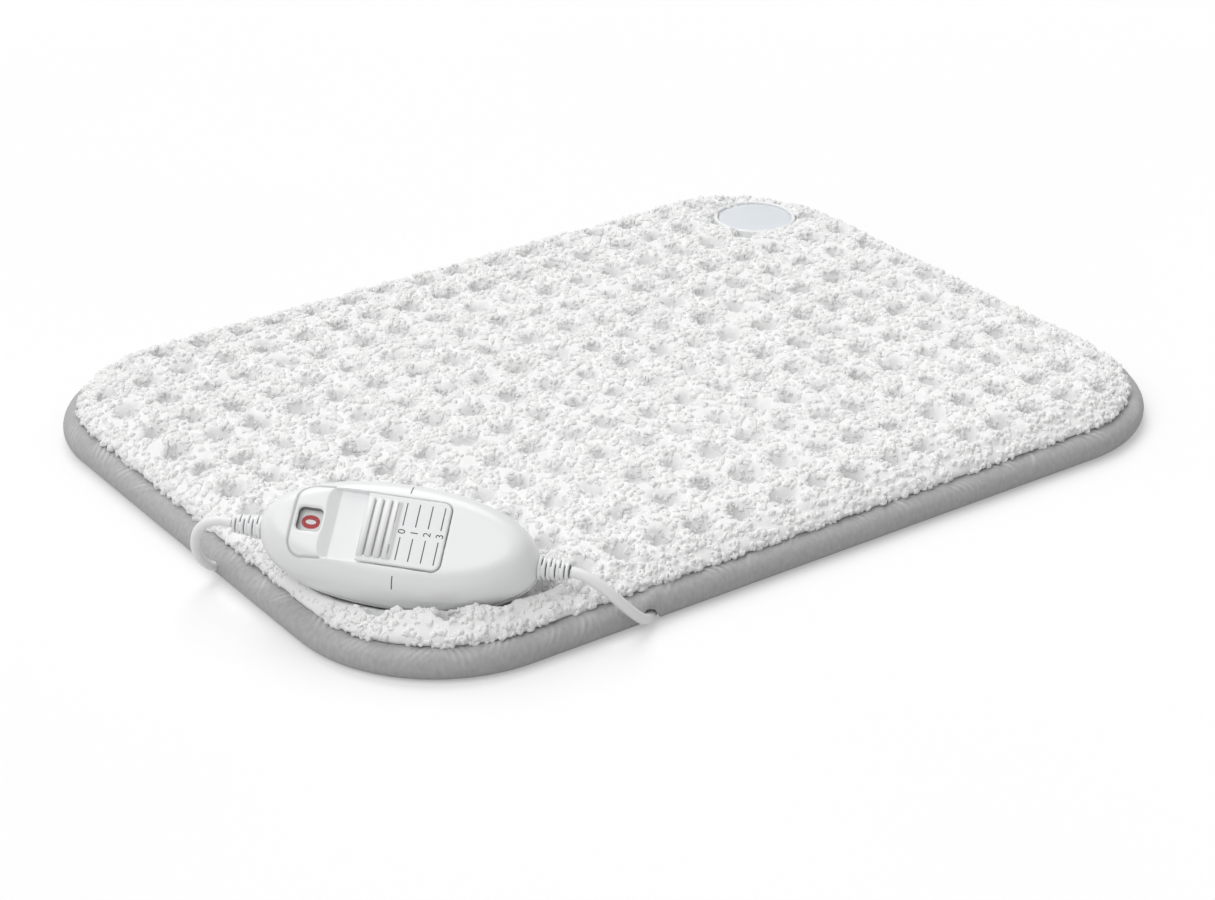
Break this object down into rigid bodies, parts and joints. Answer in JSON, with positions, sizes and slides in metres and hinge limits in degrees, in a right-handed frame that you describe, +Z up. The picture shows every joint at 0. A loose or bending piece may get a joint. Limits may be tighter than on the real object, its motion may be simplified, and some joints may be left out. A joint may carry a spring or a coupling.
{
  "type": "heating pad with controller",
  "caption": "Flat heating pad with a dimpled fleece top, a bound edge and a slide-switch controller on its corner, its mains lead coiled underneath.",
  "frame": {"origin": "on the floor under the middle of the pad", "axes": "+X along the pad's long side, +Y along its short side away from the controller, +Z up"},
  "size_m": [0.4541, 0.3356, 0.0564],
  "materials": {
    "fleece": "teddy fleece",
    "wadding": "needled felt",
    "carrier_cloth": "woven",
    "backing": "brushed",
    "binding": "knitted binding",
    "casing_white": "gloss",
    "lead_white": "satin sheath",
    "badge_blue": "satin",
    "clear_window": "clear",
    "inner_white": "moulded",
    "board_green": "solder mask",
    "black_plastic": "moulded",
    "steel": "plain",
    "brass": "plain"
  },
  "bodies": {
    "base": {"plush_cover": "fleece", "upper_felt": "wadding", "heating_wire": "brass", "heater_carrier": "carrier_cloth", "lower_felt": "wadding", "backing_cloth": "backing", "edge_binding": "binding", "lead_anchor": "black_plastic", "thermal_cutout_1": "black_plastic", "thermal_cutout_2": "black_plastic", "badge_rim": "casing_white", "badge_inlay": "badge_blue", "top_shell": "casing_white", "bottom_shell": "casing_white", "window_pane": "clear_window", "display_plate": "inner_white", "contact_strip": "brass", "detent_spring": "steel", "circuit_board": "board_green", "triac": "black_plastic", "timer_chip": "black_plastic", "terminal_block_1": "inner_white", "terminal_block_2": "inner_white", "capacitor": "badge_blue", "fuse": "steel", "cord_clamp_1": "inner_white", "cord_clamp_2": "inner_white", "casing_screw_1": "steel", "casing_screw_2": "steel", "casing_screw_3": "steel", "casing_screw_4": "steel", "pad_lead_gland": "casing_white", "mains_lead_gland": "casing_white", "pad_lead": "lead_white", "mains_lead": "lead_white", "mains_lead_coil": "lead_white", "mains_lead_tail": "lead_white", "coil_tie": "black_plastic", "plug_boot": "lead_white", "plug_body": "lead_white", "plug_pin_1": "steel", "plug_pin_2": "steel"},
    "slider": {"slider_cap": "casing_white", "slider_carriage": "black_plastic", "wiper_contact": "brass"}
  },
  "joints": [
    {"name": "switch_slide", "type": "slide", "parent": "base", "child": "slider", "axis": [-0.6836, 0.728, 0.0523], "range_m": [0, 0.0156]}
  ]
}
